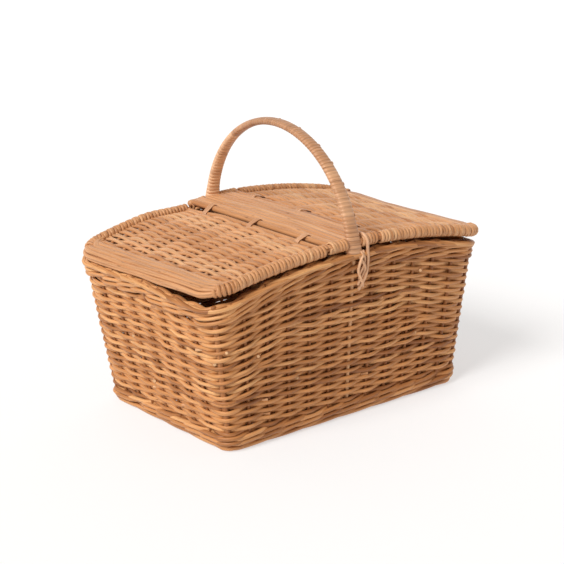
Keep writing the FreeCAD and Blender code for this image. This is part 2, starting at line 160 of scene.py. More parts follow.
class Rods:
    """Rods gathered into one mesh, with the attributes that the willow material reads."""

    def __init__(self, sides=8):
        self.sides = sides
        self.order = np.arange(sides)
        self.following = (self.order + 1) % sides
        self.points = []
        self.quads = []
        self.triangles = []
        self.grain = []
        self.tone = []
        self.cut = []
        self.total = 0

    def _store(self, points, grain, tone, cut):
        start = self.total
        self.points.append(points.reshape(-1, 3))
        self.grain.append(grain.reshape(-1, 3))
        count = len(self.points[-1])
        self.tone.append(np.full(count, tone))
        self.cut.append(np.full(count, cut))
        self.total += count
        return start

    def _cap(self, centre, ring, grain, tone, cut, flip):
        """Close a rod's end with a fan round its centre."""
        start = self._store(np.vstack([ring, centre]), np.vstack([grain, grain.mean(axis=0)]), tone, cut)
        fan = np.stack([self.order, self.following, np.full(self.sides, self.sides)], axis=1)
        self.triangles.append(start + (fan[:, ::-1] if flip else fan))

    def add(self, path, outward, radius, tone=None, flatten=1.0, cut_ends=False):
        """A rod along path. outward gives its top side, flatten its thickness over its width."""
        steps = len(path)
        tone = rng.uniform() if tone is None else tone
        outward = np.broadcast_to(outward, path.shape)
        radius = np.broadcast_to(radius, (steps,))
        flatten = np.broadcast_to(flatten, (steps,))
        along = tangents(path)
        side = unit(np.cross(along, outward))
        top = np.cross(side, along)
        if not cut_ends:
            path, radius = round_ends(path, radius, along)
            flatten, side, top = (repeat_ends(values) for values in (flatten, side, top))
            steps = len(path)
        angle = self.order * TURN / self.sides
        cosine = np.cos(angle)[None, :, None]
        sine = np.sin(angle)[None, :, None]
        ring = top[:, None, :] * cosine * flatten[:, None, None] + side[:, None, :] * sine
        points = path[:, None, :] + ring * radius[:, None, None]
        round_it = radius[:, None, None] * np.concatenate([cosine, sine], axis=2)
        along_it = np.broadcast_to(travelled(path)[:, None, None], (steps, self.sides, 1))
        grain = np.concatenate([round_it, along_it], axis=2) + rng.uniform(0, 5, 3)
        start = self._store(points, grain, tone, 0.0)
        rows = start + np.arange(steps - 1)[:, None] * self.sides
        next_rows = rows + self.sides
        quads = np.stack([rows + self.order, next_rows + self.order,
                          next_rows + self.following, rows + self.following], axis=-1)
        self.quads.append(quads.reshape(-1, 4))
        cut = 1.0 if cut_ends else 0.0
        self._cap(path[0], points[0], grain[0], tone, cut, True)
        self._cap(path[-1], points[-1], grain[-1], tone, cut, False)

    def mesh(self, name):
        mesh = bpy.data.meshes.new(name)
        faces = np.vstack(self.quads).tolist() + np.vstack(self.triangles).tolist()
        mesh.from_pydata(np.vstack(self.points), [], faces, shade_flat=False)
        for attribute, kind, field, values in (
            ("grain", "FLOAT_VECTOR", "vector", np.vstack(self.grain).ravel()),
            ("tone", "FLOAT", "value", np.concatenate(self.tone)),
            ("cut", "FLOAT", "value", np.concatenate(self.cut)),
        ):
            mesh.attributes.new(attribute, kind, "POINT").data.foreach_set(field, values)
        mesh.validate()
        return mesh

    def piece(self, name, body, slot, material, *nodes):
        """Make the object, attach it to the body it rides on, and hide the frame's nodes that it stands for.
        """
        obj = bpy.data.objects.new(name, self.mesh(name))
        bpy.context.scene.collection.objects.link(obj)
        obj.data.materials.append(material)
        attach(obj, body)
        if nodes:
            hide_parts(*nodes)


# Rings that close a rod as a blunt dome: how far past its end each lies and how wide it is, in radii.
DOME_REACH = (0.45, 0.75)
DOME_WIDTH = (0.85, 0.55)


def round_ends(path, radius, along):
    """Add two smaller rings at each end."""
    head = [path[0] - along[0] * radius[0] * reach for reach in DOME_REACH[::-1]]
    tail = [path[-1] + along[-1] * radius[-1] * reach for reach in DOME_REACH]
    first = [radius[0] * width for width in DOME_WIDTH[::-1]]
    last = [radius[-1] * width for width in DOME_WIDTH]
    return np.vstack([head, path, tail]), np.concatenate([first, radius, last])


def repeat_ends(values):
    """The first and the last value again, for the two rings added there."""
    return np.concatenate([values[:1]] * 2 + [values] + [values[-1:]] * 2)


# -------- the body's outline

STAKE_PITCH = 34.5 * MM
LONG_STAKES = 11
SHORT_STAKES = 7
STAKES = 2 * LONG_STAKES + 2 * SHORT_STAKES + 4
CORNER_STAKES = (0, LONG_STAKES + 1, STAKES // 2, STAKES // 2 + LONG_STAKES + 1)
# Middle of the front and of the back, where the handle's rod runs down in a stake's stead.
HANDLE_STAKES = ((LONG_STAKES + 1) // 2, STAKES // 2 + (LONG_STAKES + 1) // 2)
MID_HEIGHT = RIM_CORNER / 2
WALL_LEAN = (RIM_HALF_WIDTH - (WALE_HIGH[1] - BAND_OUTSET)) / (RIM_TOP - WALE_TOP)


def half_length(z):
    low = WALE_HIGH[0] - BAND_OUTSET
    return low + (RIM_HALF_LENGTH - low) * (z - WALE_TOP) / (RIM_CORNER - WALE_TOP)


def half_width(z):
    return WALE_HIGH[1] - BAND_OUTSET + WALL_LEAN * (z - WALE_TOP)


def corner_radius(z):
    return BASE_CORNER_RADIUS + (RIM_CORNER_RADIUS - BASE_CORNER_RADIUS) * z / RIM_CORNER


# Lengths of the outline's straight and round stretches at mid height.
LONG_RUN = 2 * (half_length(MID_HEIGHT) - corner_radius(MID_HEIGHT))
SHORT_RUN = 2 * (half_width(MID_HEIGHT) - corner_radius(MID_HEIGHT))
ARC = corner_radius(MID_HEIGHT) * math.pi / 2
# Where each stretch starts, from the middle of the front left corner, and there the way the wall faces
# in eighths of a turn, and the share of the way from the middle to the corner's centre.
OUTLINE_KNOTS = np.cumsum([0, ARC / 2, LONG_RUN, ARC, SHORT_RUN, ARC, LONG_RUN, ARC, SHORT_RUN, ARC / 2])
KNOT_FACING = (-3, -2, -2, 0, 0, 2, 2, 4, 4, 5)
KNOT_X = (-1, -1, 1, 1, 1, 1, -1, -1, -1, -1)
KNOT_Y = (-1, -1, -1, -1, 1, 1, 1, 1, -1, -1)
PERIMETER = OUTLINE_KNOTS[-1]


def stake_places():
    """Distance of each stake along the outline at mid height, from the front left corner post."""
    places = []
    start = 0.0
    for side_length, count in ((LONG_RUN, LONG_STAKES), (SHORT_RUN, SHORT_STAKES)) * 2:
        places.append(start)
        middle = start + ARC / 2 + side_length / 2
        places.extend(middle + (np.arange(count) - (count - 1) / 2) * STAKE_PITCH)
        start += ARC + side_length
    return np.array(places + [PERIMETER])


STAKE_PLACES = stake_places()


def outline(place, z):
    """Points and outward directions on the body's outside, at distances along the outline."""
    place = np.mod(place, PERIMETER)
    z = np.broadcast_to(z, place.shape)
    radius = corner_radius(z)
    x = np.interp(place, OUTLINE_KNOTS, KNOT_X) * (half_length(z) - radius)
    y = np.interp(place, OUTLINE_KNOTS, KNOT_Y) * (half_width(z) - radius)
    angle = np.interp(place, OUTLINE_KNOTS, KNOT_FACING) * math.pi / 4
    out = np.stack([np.cos(angle), np.sin(angle), np.zeros_like(angle)], axis=-1)
    points = np.stack([x, y, z], axis=-1) + out * radius[..., None]
    return points, unit(out - WALL_LEAN * UP)


def guide_points(place):
    """Points at mid height, which say where on the walls the places are."""
    return outline(place, MID_HEIGHT)[0]


def place_of(stake):
    """Distance along the outline of a stake number, which may lie between two stakes."""
    stake = np.asarray(stake, float)
    turns = np.floor(stake / STAKES)
    return turns * PERIMETER + np.interp(stake - turns * STAKES, np.arange(STAKES + 1), STAKE_PLACES)


# -------- woven walls

WALL_INSET = 6.6 * MM
STAKE_RADIUS = 2.5 * MM
CORNER_POST_RADIUS = 4.0 * MM
SWAY = 3.9 * MM
FULL_ROWS = 30
LOWER_ROWS = 16
WEAVER_RADIUS = 2.8 * MM
WEAVER_FLATTEN = 0.84
INSIDE_SPREAD = 0.9
SAMPLES_PER_STAKE = 7
# How far a rod runs on past the stake where the next one joins it, in stakes.
END_OVERLAP = 0.3
# How far rows wander up and down together, away from the wales.
ROW_DRIFT = 1.5 * MM
DRIFT_FADE = 30 * MM
TOP_WALE_HEIGHT = 26.0 * MM
WEAVE_LOW = WALE_TOP - 1.5 * MM

# Pairs of short rows that fill the bow of the long walls: under which full row they lie, and how far they
# reach to the left and right of the middle, on the front and on the back.
PACKING = (
    (9, (-0.205, 0.190), (-0.190, 0.200)),
    (15, (-0.175, 0.150), (-0.150, 0.170)),
    (22, (-0.125, 0.110), (-0.110, 0.125)),
)
PACKING_RAMP = 0.075


def weave_top(points):
    return rim(*points.T[:2]) - TOP_WALE_HEIGHT


def packing_share(points, front, back):
    """How much of a pair of short rows is there at each point: 0 none, 1 both."""
    left, right = np.where(points[:, 1:2] < 0, front, back).T
    inside = np.minimum(points[:, 0] - left, right - points[:, 0]) / PACKING_RAMP
    on_long_side = np.abs(points[:, 1]) > half_width(0.0) * 0.8
    return smooth(inside) * on_long_side


def row_height(points, row, which=None):
    """Height at each point of a full row, or of one of the two short rows that lie under it."""
    level = row + (0.5 if which is None else 0.0)
    rows_here = FULL_ROWS
    for after, front, back in PACKING:
        share = 2 * packing_share(points, front, back)
        rows_here = rows_here + share
        if after == row and which is not None:
            level = level + share * (0.25 + 0.5 * which)
        elif after <= row:
            level = level + share
    return WEAVE_LOW + (weave_top(points) - WEAVE_LOW) * level / rows_here


def weaver(rods, first, last, parity, radius, tone, row, which=None):
    """One weaver of plain weave between two stake numbers, in front of every second stake."""
    seed = int(rng.integers(1e6))
    count = int((last - first) * SAMPLES_PER_STAKE) + 1
    stake = np.linspace(first, last, count)
    place = place_of(stake)
    guide = guide_points(place)
    z = row_height(guide, row, which)
    inside = smooth((z - WEAVE_LOW) / DRIFT_FADE) * smooth((weave_top(guide) - z) / DRIFT_FADE)
    z = z + inside * ROW_DRIFT * waver(place + z * 0.6, 0.23, 5)
    z = z + 0.35 * MM * waver(place, 0.06, seed)
    points, out = outline(place, z)
    wave = np.cos(math.pi * (stake + parity))
    sway = SWAY * (wave + 0.06 * np.cos(3 * math.pi * (stake + parity)))
    short_side = smooth((np.abs(guide[:, 0]) - half_length(MID_HEIGHT) + 20 * MM) / (15 * MM))
    sway = sway * (1 + 0.16 * waver(place, 0.07, seed + 1)) * (1 - 0.25 * short_side)
    tuck = 1 - smooth(np.minimum(stake - first, last - stake) / 0.6)
    offset = -WALL_INSET + sway - 3.2 * MM * tuck
    taper = np.linspace(1.07, 0.93, count) * (1 + 0.05 * waver(place, 0.045, seed + 2))
    spread = 1 + INSIDE_SPREAD * np.clip(0.2 - wave, 0, 1)
    rods.add(points + out * offset[:, None], out, radius * taper * spread, tone,
             flatten=WEAVER_FLATTEN / np.sqrt(spread))


def next_hidden_stake(stake, parity):
    """First whole stake number from stake on at which a row of that parity runs inside."""
    number = math.ceil(stake)
    return number if (number + parity) % 2 else number + 1


def wall_weave():
    """All rows of plain weave, as two meshes: the lower and the upper half of the walls."""
    lower, upper = Rods(), Rods()
    for row in range(FULL_ROWS):
        rods = lower if row < LOWER_ROWS else upper
        parity = row % 2
        start = next_hidden_stake(rng.uniform(0, STAKES), parity)
        joint = next_hidden_stake(start + STAKES * rng.uniform(0.4, 0.6), parity)
        for first, last in ((start, joint), (joint, start + STAKES)):
            radius = WEAVER_RADIUS * rng.uniform(0.93, 1.06)
            weaver(rods, first - END_OVERLAP, last + END_OVERLAP, parity, radius, rng.uniform(), row)
    for row, front, back in PACKING:
        for middle, (low, high) in zip(HANDLE_STAKES, (front, (-back[1], -back[0]))):
            tone = rng.uniform()
            for which in (0, 1):
                parity = (row + which) % 2
                first = next_hidden_stake(middle + low / STAKE_PITCH - 1.2, parity) - 0.2
                last = next_hidden_stake(middle + high / STAKE_PITCH - 0.8, parity) + 0.2
                weaver(upper, first, last, parity, WEAVER_RADIUS * 0.96, tone, row, which)
    return lower, upper


def wale_row(rods, height_of, radius, twist, inset):
    """Three rods that each pass outside two stakes and inside one, turn and turn about."""
    for strand in range(3):
        begin = rng.uniform(0, STAKES)
        joints = strand + 3 * np.round((begin + np.array([0, 14, 27, 42])) / 3)
        for first, last in zip(joints[:-1] - END_OVERLAP, joints[1:] + END_OVERLAP):
            count = int((last - first) * SAMPLES_PER_STAKE) + 1
            stake = np.linspace(first, last, count)
            place = place_of(stake)
            phase = np.mod(stake - strand, 3.0)
            swing = np.tanh(2.0 * (np.cos(TURN * (phase - 1.0) / 3) + 0.15))
            guide = guide_points(place)
            rise = np.interp(phase, [0.0, 0.2, 1.8, 2.2, 3.0], [-1.0, -1.0, 1.0, 1.0, -1.0])
            z = height_of(guide) + twist * rise
            z = z + 0.4 * MM * waver(place, 0.09, int(rng.integers(1e6)))
            points, out = outline(place, z)
            offset = -inset + 4.6 * MM * swing
            taper = np.linspace(1.06, 0.9, count) * (1 + 0.5 * np.clip(0.3 - swing, 0, 1))
            rods.add(points + out * offset[:, None], out, radius * taper)


def bottom_wale():
    rods = Rods()
    for height in (12.2 * MM, 19.0 * MM):
        wale_row(rods, lambda points, z=height: z, 3.1 * MM, 1.6 * MM, 6.4 * MM)
    return rods


def top_wale():
    rods = Rods()
    for drop in (21.5 * MM, 14.6 * MM, 7.6 * MM):
        wale_row(rods, lambda points, down=drop: rim(*points.T[:2]) - down, 2.75 * MM, 3.3 * MM, 6.2 * MM)
    return rods


def stakes():
    """Upright stakes and the thicker corner posts, from the floor to the rim."""
    rods = Rods()
    for number in range(STAKES):
        if number in HANDLE_STAKES:
            continue
        place = np.full(24, place_of(number))
        top = rim(*guide_points(place)[0, :2]) - 3 * MM
        z = np.linspace(FOOT_HIGH[2] + 1 * MM, top, 24)
        points, out = outline(place, z)
        radius = CORNER_POST_RADIUS if number in CORNER_STAKES else STAKE_RADIUS * rng.uniform(0.92, 1.08)
        along_wall = np.cross(out, UP) * (0.7 * MM * waver(z, 0.12, number))[:, None]
        # The stakes take the darkest tone as painted shade, because they show only in the shaded gaps between
        # the weavers.
        rods.add(points - out * WALL_INSET + along_wall, np.cross(out, UP), radius, tone=0.0)
    return rods


BORDER_INSET = 6.4 * MM
BORDER_ROD = 2.9 * MM
CUT_END_COUNT = 40


def rim_border():
    """Rolled border: each stake's end lies over the next two and tucks in behind the third."""
    rods = Rods()
    phase = np.array([-0.3, 0.0, 0.4, 1.0, 1.7, 2.4, 2.9, 3.3, 3.6])
    offset = np.array([0.0, 0.0, 3.5, 6.2, 6.4, 4.2, 0.0, -4.2, -5.5]) * MM
    height = np.array([-9.0, -5.0, -3.6, -4.6, -5.2, -4.4, -2.8, -4.2, -6.5]) * MM
    fine = np.linspace(phase[0], phase[-1], 22)
    shift = np.interp(fine, phase, offset) - BORDER_INSET
    rise = np.interp(fine, phase, height)
    for number in range(STAKES):
        place = place_of(number + rng.uniform(-0.08, 0.08) + fine)
        z = rim(*guide_points(place).T[:2]) + rise + rng.uniform(-0.5, 0.5) * MM
        points, out = outline(place, z)
        rods.add(points + out * shift[:, None], out, BORDER_ROD * np.linspace(1.08, 0.8, 22))
    return rods


def cut_ends():
    """Short cut ends of rods that stand out here and there between the stakes."""
    rods = Rods(sides=7)
    for _ in range(CUT_END_COUNT):
        place = place_of([rng.integers(0, STAKES) + rng.uniform(0.3, 0.7)])
        top = weave_top(guide_points(place))[0]
        z = rng.uniform(WEAVE_LOW + 12 * MM, top - 4 * MM)
        point, out = outline(place, z)
        run = unit(np.cross(UP, out)) * rng.choice([-1, 1])
        direction = unit(out * rng.uniform(0.5, 0.9) + run + UP * rng.uniform(-0.25, 0.35))
        base = point - out * 8.5 * MM - direction * 5 * MM
        reach = rng.uniform(13, 18) * MM
        path = base + direction * np.linspace(0, 1, 4)[:, None] * reach
        rods.add(path, UP + 0.1 * out, rng.uniform(2.0, 2.7) * MM, cut_ends=True)
    return rods


# -------- foot and floor


def foot():
    """Border under the base: a twist of three rods round the foot's ring."""
    rods = Rods()
    inset = half_length(FOOT_HIGH[2]) - FOOT_HIGH[0]
    height = FOOT_HIGH[2] / 2
    for strand in range(3):
        place = np.linspace(0, PERIMETER + 6 * MM, 520)
        turn = place / (190 * MM) * TURN + strand * TURN / 3
        points, out = outline(place, height)
        points[:, 2] = height + 0.6 * MM + np.sin(turn) * 1.5 * MM
        flat_out = unit(out * (1, 1, 0))
        offset = -inset - 2.2 * MM + np.cos(turn) * 2.6 * MM
        rods.add(points + flat_out * offset[:, None], UP, 2.8 * MM)
    return rods


def floor_weave():
    """Sticks along the floor, and weavers across them."""
    rods = Rods(sides=6)
    stick_pitch = 30 * MM
    half_x, half_y = FLOOR_HIGH[:2]
    middle = (FLOOR_LOW[2] + FLOOR_HIGH[2]) / 2
    for number in range(-3, 4):
        x = np.linspace(-half_x, half_x, 30)
        y = number * stick_pitch + 0.8 * MM * waver(x, 0.15, number + 50)
        rods.add(np.stack([x, y, np.full(30, middle)], axis=1), UP, 3.1 * MM)
    pitch = 5.6 * MM
    count = int(2 * (half_x - 3 * MM) / pitch)
    for row in range(count):
        x = (row - (count - 1) / 2) * pitch
        y = np.linspace(-half_y + 2.5 * MM, half_y - 2.5 * MM, 58)
        sway = 4.4 * MM * np.cos(math.pi * y / stick_pitch) * (-1) ** row
        across = x + 0.4 * MM * waver(y, 0.08, row + 300)
        rods.add(np.stack([across, y, middle + sway], axis=1), UP, 2.9 * MM, flatten=0.8)
    return rods


# -------- bridge and handle

LID_CORE = 5.3 * MM
WRAP_STRAND = 2.65 * MM
WRAP_THICKNESS = 1.8 * MM


def coil(rods, line, out, ring, pitch, tones):
    """Split willow wound round a line of points, in several rods. out is the level direction across it."""
    start_angle = rng.uniform(0, 6)
    length = travelled(line)
    samples = int(length[-1] / pitch * 12)
    per_part = samples / tones
    travel = np.linspace(0, 1, samples) * length[-1]
    angle = (start_angle + travel / pitch * TURN)[:, None]
    radial = unit(read_off(travel, length, out) * np.cos(angle) + UP * np.sin(angle))
    path = read_off(travel, length, line) + radial * ring
    for part in range(tones):
        first = int(part * per_part)
        last = int((part + 1) * per_part) + 2
        rods.add(path[first:last], radial[first:last], WRAP_STRAND, flatten=WRAP_THICKNESS / WRAP_STRAND)


WRAP_HALF_DEPTH = 6.5 * MM
HANDLE_APEX = HANDLE_HIGH[2] - WRAP_HALF_DEPTH
HANDLE_SPAN = HANDLE_HIGH[1] - WRAP_HALF_DEPTH
HANDLE_RISE = HANDLE_APEX - HANDLE_LOW[2]
HANDLE_RADIUS = (HANDLE_RISE ** 2 + HANDLE_SPAN ** 2) / (2 * HANDLE_RISE)
SPRING_HEIGHT = HANDLE_APEX - HANDLE_RADIUS
SKEIN_PITCH = 5.4 * MM
SKEIN_THICKNESS = 0.42 * MM
TURN_SAMPLES = 26
# Painted light and shade on the handle's wrapping, as tone from the front foot over the crest to the back
# foot: the crest is painted darker and the back foot lighter, standing in for light from the front and left.
HANDLE_PAINTED_LIGHT_Y = (-0.1, 0.0, 0.11)
HANDLE_PAINTED_LIGHT_TONES = (0.55, 0.0, 1.0)


def handle_line(count):
    """Centre line of the handle from front to back over the crest, and the way from its foot."""
    reach = math.acos((HANDLE_LOW[2] - 2 * MM - SPRING_HEIGHT) / HANDLE_RADIUS)
    angle = np.linspace(-reach, reach, count)
    y = HANDLE_RADIUS * np.sin(angle)
    z = SPRING_HEIGHT + HANDLE_RADIUS * np.cos(angle)
    return np.stack([np.zeros(count), y, z], axis=1), (reach - np.abs(angle)) * HANDLE_RADIUS


def handle_wrap():
    """Split willow wound closely round the handle, which is wider and thicker at its feet."""
    rods = Rods(sides=6)
    line, from_foot = handle_line(400)
    length = travelled(line)
    travel = np.linspace(0, length[-1], int(length[-1] / SKEIN_PITCH * TURN_SAMPLES))
    centre = read_off(travel, length, line)
    side = np.array([1.0, 0.0, 0.0])
    out = unit(np.cross(side, tangents(centre)))
    distance = np.interp(travel, length, from_foot)
    flare = 1 - smooth(distance / (40 * MM))
    leg = 1 - smooth((distance - 20 * MM) / (130 * MM))
    half_x = (8.6 + 1.0 * leg + 2.4 * flare) * MM
    half_out = (4.7 + 0.4 * leg + 2.2 * flare) * MM
    angle = travel / SKEIN_PITCH * TURN
    cosine = np.cos(angle)
    sine = np.sin(angle)
    blunt = 0.86
    across = np.sign(cosine) * np.abs(cosine) ** blunt * half_x
    thick = np.sign(sine) * np.abs(sine) ** blunt * half_out
    path = centre + side * across[:, None] + out * thick[:, None]
    facing = unit(side * (cosine / half_x)[:, None] + out * (sine / half_out)[:, None])
    first = 0
    while first < len(path) - 2:
        last = min(len(path), first + int(rng.integers(5, 10)) * TURN_SAMPLES)
        width = SKEIN_PITCH / 2 * rng.uniform(1.25, 1.35)
        # Painted light and shade along the handle, plus a random tone of its own for each run of wraps.
        tone = np.interp(path[first, 1], HANDLE_PAINTED_LIGHT_Y, HANDLE_PAINTED_LIGHT_TONES) + rng.uniform(-0.1, 0.1)
        rods.add(path[first:last + 1], facing[first:last + 1], width, tone, flatten=SKEIN_THICKNESS / width)
        first = last
    rods.add(line, np.cross(side, tangents(line)), 7.6 * MM, 0.5, flatten=0.55)
    return rods


def handle_legs():
    """Ends of the handle's rod, from the rim down inside the long walls."""
    rods = Rods(sides=10)
    for stake in HANDLE_STAKES:
        z = np.linspace(FOOT_HIGH[2] + 1 * MM, SPRING_HEIGHT - 4 * MM, 30)
        points, out = outline(np.full(30, place_of(stake)), z)
        rise = smooth((z - RIM_TOP + 30 * MM) / (30 * MM))
        radius = (2.6 + 1.6 * rise) * MM
        inset = WALL_INSET - 2 * MM * rise
        rods.add(points - out * inset[:, None], np.cross(out, UP), radius)
    return rods


def bridge_rods():
    """Smooth rods laid side by side over the bridge."""
    rods = Rods(sides=10)
    count = 8
    span = HINGE_X - EDGE_RADIUS - 0.4 * MM
    pitch = 2 * span / count
    end_y = BORDER_Y - BORDER_RADIUS * 0.4
    for number in range(count):
        x = (number - (count - 1) / 2) * pitch
        y = np.linspace(-end_y, end_y, 60)
        bow = 3.0 * MM * np.cos(y / end_y * math.pi / 2) * math.cos(x / HINGE_X * 1.2)
        wander = 0.55 * MM * waver(y, 0.16, number + 900)
        z = HINGE_Z + 0.6 * MM + bow + 0.5 * MM * waver(y, 0.11, number + 930)
        radius = pitch * 0.62 * (1 + 0.05 * waver(y, 0.12, number + 960))
        rods.add(np.stack([x + wander, y, z], axis=1), UP, radius, flatten=0.65)
    return rods


def bridge_edges():
    """Edge rods of the bridge, on which the lids' ties turn."""
    rods = Rods(sides=12)
    end_y = EDGE_HIGH[1]
    for sign in (-1, 1):
        path = np.linspace((sign * HINGE_X, -end_y, HINGE_Z), (sign * HINGE_X, end_y, HINGE_Z), 40)
        radius = EDGE_RADIUS * (1 + 0.03 * waver(path[:, 1], 0.1, 70 + sign))
        rods.add(path, UP, radius)
    return rods


def bridge_cross():
    """Cross rods under the bridge."""
    rods = Rods()
    radius = 2.5 * MM
    reach = HINGE_X + 4 * MM
    z = HINGE_Z - EDGE_RADIUS - radius
    for y in (-140 * MM, -52.5 * MM, 52.5 * MM, 140 * MM):
        rods.add(np.linspace((-reach, y, z), (reach, y, z), 12), UP, radius)
    return rods


def bridge_end(side):
    """Wrapped end of the bridge on both sides of the handle's foot."""
    rods = Rods()
    y = side * BORDER_Y
    z = BORDER_Z
    rods.add(np.linspace((-HINGE_X - 2 * MM, y, z), (HINGE_X + 2 * MM, y, z), 24), UP, LID_CORE)
    for sign in (-1, 1):
        line = np.linspace((sign * 12.5 * MM, y, z), (sign * (HINGE_X + 3.5 * MM), y, z), 12)
        if side > 0 and sign < 0:
            line[:, 2] -= 4.6 * MM * smooth(-line[:, 0] / HINGE_X)
        out = np.tile([0.0, float(side), 0.0], (12, 1))
        coil(rods, line, out, LID_CORE + WRAP_THICKNESS, 5.2 * MM, tones=2)
    return rods


# Strands of a lashing: their places across it from its top to its end in half widths, how far down
# they reach, and their radius.
LASHING_STRANDS = (
    ((0.8, 1.0, 0.8, 0.3, -0.2), 1.0, 2.2 * MM),
    ((-0.8, -0.2, 0.45, 0.1, -0.5), 0.86, 2.0 * MM),
    ((0.3, -0.5, -0.75, -0.2, 0.45), 0.94, 2.0 * MM),
    ((-0.3, 0.5, 0.2, -0.55, -0.15), 0.74, 1.8 * MM),
)


def lashing(side):
    """Crossing strands from the border beside the handle's foot into the wall; on the front one comes over
    the border.
    """
    rods = Rods()
    low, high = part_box("front_handle_lashing" if side < 0 else "back_handle_lashing")
    middle = (low[0] + high[0]) / 2
    half = (high[0] - low[0]) / 2
    top = high[2] + 7 * MM
    share = np.linspace(0, 1, 26)
    out = np.tile([0.0, float(side), 0.1], (26, 1))
    for number, (places, reach, radius) in enumerate(LASHING_STRANDS):
        z = top + (low[2] - top) * reach * share
        across = np.interp(share, np.linspace(0, 1, len(places)), places)
        across = np.convolve(np.pad(across, 2, mode="edge"), np.ones(5) / 5, mode="valid")
        layer = 0.9 * MM * np.cos(share * math.pi * 3 + number * 2.1)
        bulge = 3.0 * MM * np.sin(math.pi * np.clip(share * 1.04, 0, 1)) ** 0.5 + layer
        y = side * (half_width(z) + bulge - 0.6 * MM)
        path = np.stack([middle - side * half * across, y, z], axis=1)
        facing = out
        if number == 0 and side < 0:
            angle = np.linspace(1.9, -0.45, 14)
            ring = BORDER_RADIUS + 1.4 * MM
            radial = np.stack([np.zeros(14), side * np.cos(angle), np.sin(angle)], axis=1)
            over = np.array([path[0, 0], side * BORDER_Y, BORDER_Z]) + radial * ring
            over[:, 0] += side * 2 * MM * np.sin(angle)
            path = np.vstack([over, path[2:]])
            facing = np.vstack([radial, out[2:]])
        rods.add(path, facing, radius, tone=0.75)
    return rods


# -------- lids

LID_CORNER = 30 * MM
LID_SIDE_END = LID_END - LID_CORNER
RIB_PITCH = 37 * MM
RIB_COUNT = 8
LID_WEAVER_PITCH = 5.5 * MM
LID_WEAVER_WIDTH = 3.75 * MM
LID_SWAY = 2.3 * MM
LID_FLATTEN = 0.72
WRAP_END = LID_SIDE_END + 2 * MM

# How far each corner of a lid stands off its even curve: (side, front or back) to metres.
LID_WARP = {(-1, -1): 8.5 * MM, (-1, 1): 0.5 * MM, (1, -1): 0.2 * MM, (1, 1): -0.6 * MM}
# How much further out than the even curve a lid's end lies.
LID_STRETCH = {-1: -4.0 * MM, 1: 6.0 * MM}
# How far past the straight side a lid's wrapping goes on round its corners.
WRAP_REACH = {-1: 26.0 * MM, 1: 42.0 * MM}


def lid_height(side, x, y):
    """Middle height of a lid at the distance x from the basket's middle."""
    front = LID_WARP[(side, -1)]
    back = LID_WARP[(side, 1)]
    share = np.clip(0.5 + y / (2 * BORDER_Y), 0, 1)
    lift = front + (back - front) * smooth(share)
    reach = np.clip((x - LID_START) / (LID_END - LID_START), 0, 1)
    sag = -6.2 * MM * hump(side * x, -52 * MM, 75 * MM) * smooth((y - 60 * MM) / (80 * MM))
    dip = -2.8 * MM * (side > 0) * hump(y, 35 * MM, 150 * MM)
    return crown(x) + LID_LIFT + (lift + dip) * reach ** 1.4 + sag


def lid_points(side, x, y, lift=0.0):
    """Points of a lid from distances x out from the middle, y across, and lift above its middle height."""
    x, y = np.broadcast_arrays(x, y)
    z = lid_height(side, x, y) + lift
    x = x + LID_STRETCH[side] * (x - LID_START) / (LID_END - LID_START)
    return np.stack([side * x, y, z], axis=-1)


# Where the hoop's corners begin and end along it, from its front inner end.
SIDE_RUN = LID_SIDE_END - LID_START
LID_ARC = LID_CORNER * math.pi / 2
END_HALF = BORDER_Y - LID_CORNER
HOOP_CORNERS = np.cumsum([SIDE_RUN, LID_ARC, 2 * END_HALF, LID_ARC])


def hoop_line(count):
    """The lid's hoop in plan: (x, y), the outward direction, and the way from its front inner end."""
    travel = np.linspace(0, HOOP_CORNERS[3] + SIDE_RUN, count)
    angle = np.interp(travel, HOOP_CORNERS, (-math.pi / 2, 0, 0, math.pi / 2))
    out = np.stack([np.cos(angle), np.sin(angle)], axis=1)
    before_end = np.maximum(HOOP_CORNERS[0] - travel, 0) + np.maximum(travel - HOOP_CORNERS[3], 0)
    x = LID_SIDE_END - before_end + LID_CORNER * out[:, 0]
    y = np.interp(travel, HOOP_CORNERS[1:3], (-END_HALF, END_HALF)) + LID_CORNER * out[:, 1]
    return x, y, out, travel


def lid_frame(side):
    """Hoop, inner rod and ribs."""
    rods = Rods(sides=10)
    x, y = hoop_line(150)[:2]
    rods.add(lid_points(side, x, y), UP, LID_CORE)
    across = np.linspace(-BORDER_Y + 4 * MM, BORDER_Y - 4 * MM, 60)
    inner = lid_points(side, LID_START, across)
    rods.add(inner, UP, LID_ROD_RADIUS * (1 + 0.03 * waver(across, 0.1, 400 + side)))
    for number in range(RIB_COUNT):
        along = np.linspace(LID_START, LID_END - 3 * MM, 30)
        y = (number - (RIB_COUNT - 1) / 2) * RIB_PITCH + 0.8 * MM * waver(along, 0.1, number + 30)
        rods.add(lid_points(side, along, y), UP, 2.3 * MM)
    return rods


def lid_pass(side, number, x, direction):
    """One weaver across the lid, over every second rib."""
    seed = int(rng.integers(1e6))
    half = BORDER_Y - LID_CORE - 1.0 * MM
    y = np.linspace(-half, half, RIB_COUNT * 6 + 8)
    wave = np.cos(math.pi * (y / RIB_PITCH + 0.5)) * (-1) ** number
    sway = LID_SWAY * wave * (1 + 0.15 * waver(y, 0.08, seed))
    shift = 0.35 * MM * waver(y, 0.07, seed + 1) + 1.0 * MM * waver(y + x * 2, 0.2, 77)
    points = lid_points(side, x + shift, y, sway)
    from_border = smooth((half - np.abs(y)) / (14 * MM))
    width = WRAP_STRAND + (LID_WEAVER_WIDTH - WRAP_STRAND) * from_border
    width = width * (1 + 0.2 * from_border * np.maximum(-wave, 0) ** 2)
    return (points if direction > 0 else points[::-1]), width


